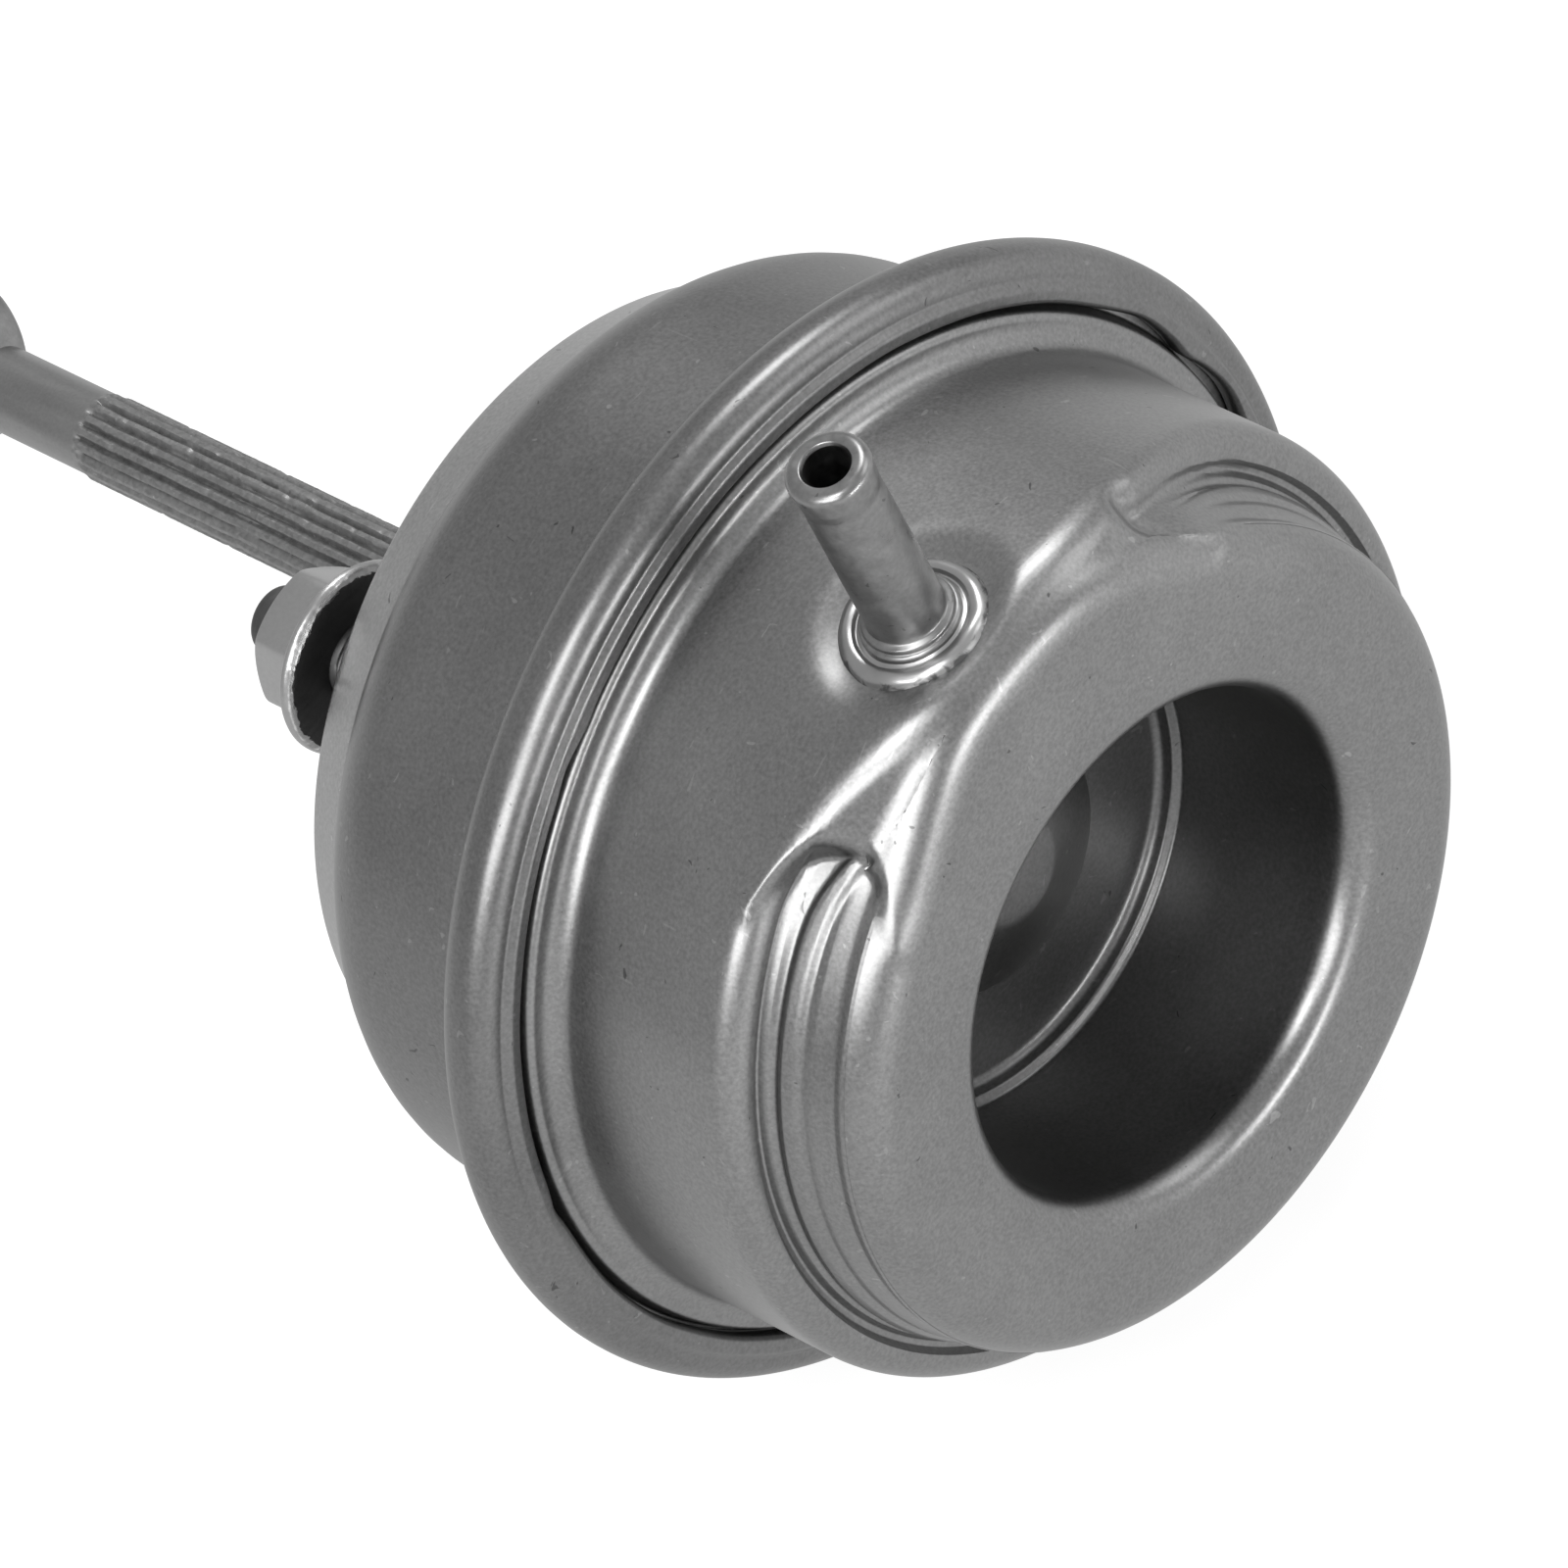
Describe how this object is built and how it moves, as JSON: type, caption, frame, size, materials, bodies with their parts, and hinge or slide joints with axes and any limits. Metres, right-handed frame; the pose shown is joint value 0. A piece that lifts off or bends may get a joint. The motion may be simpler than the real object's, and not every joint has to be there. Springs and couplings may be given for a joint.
{
  "type": "wastegate actuator",
  "caption": "Round pressed-steel pressure canister with a side hose nipple, rolled rim, rear disc with mounting studs, and a knurled rod with an eye that slides out under pressure.",
  "frame": {"origin": "centre of the mounting face, the rear face of the disc, on the rod's axis", "axes": "+Y along the rod, out of the mounting face towards the eye; +Z along the hose nipple, away from the canister"},
  "size_m": [0.068, 0.1038, 0.0771],
  "materials": {
    "front_can_steel": "satin, drawn steel",
    "rear_can_steel": "matte, drawn steel",
    "disc_steel": "turned, matte",
    "nipple_steel": "turned, satin",
    "braze_metal": "bright filler metal",
    "diaphragm_rubber": "matte",
    "inner_plated_steel": "zinc plated",
    "spring_steel": "phosphated",
    "bush_bronze": "sintered bronze",
    "wiper_plastic": "filled seal plastic",
    "rod_steel": "ground, satin",
    "stud_steel": "dark steel",
    "nut_zinc": "bright zinc"
  },
  "bodies": {
    "canister": {"front_can": "front_can_steel", "rear_can": "rear_can_steel", "mounting_disc": "disc_steel", "hose_nipple": "nipple_steel", "nipple_braze_ring": "braze_metal", "diaphragm": "diaphragm_rubber", "return_spring": "spring_steel", "spring_seat": "inner_plated_steel", "guide_bush": "bush_bronze", "rod_wiper": "wiper_plastic", "wiper_washer": "inner_plated_steel", "stud_upper": "stud_steel", "stud_lower": "stud_steel", "nut_upper": "nut_zinc", "nut_lower": "nut_zinc"},
    "plunger": {"actuator_rod": "rod_steel", "piston_cup": "inner_plated_steel", "backing_washer": "inner_plated_steel", "diaphragm_retainer": "inner_plated_steel"}
  },
  "joints": [
    {"name": "rod_slide", "type": "slide", "parent": "canister", "child": "plunger", "axis": [0, 1, 0], "range_m": [0, 0.01], "stiffness_N_per_m": 10600, "springref_m": -0.0106, "deforming": ["return_spring", "diaphragm"]}
  ]
}
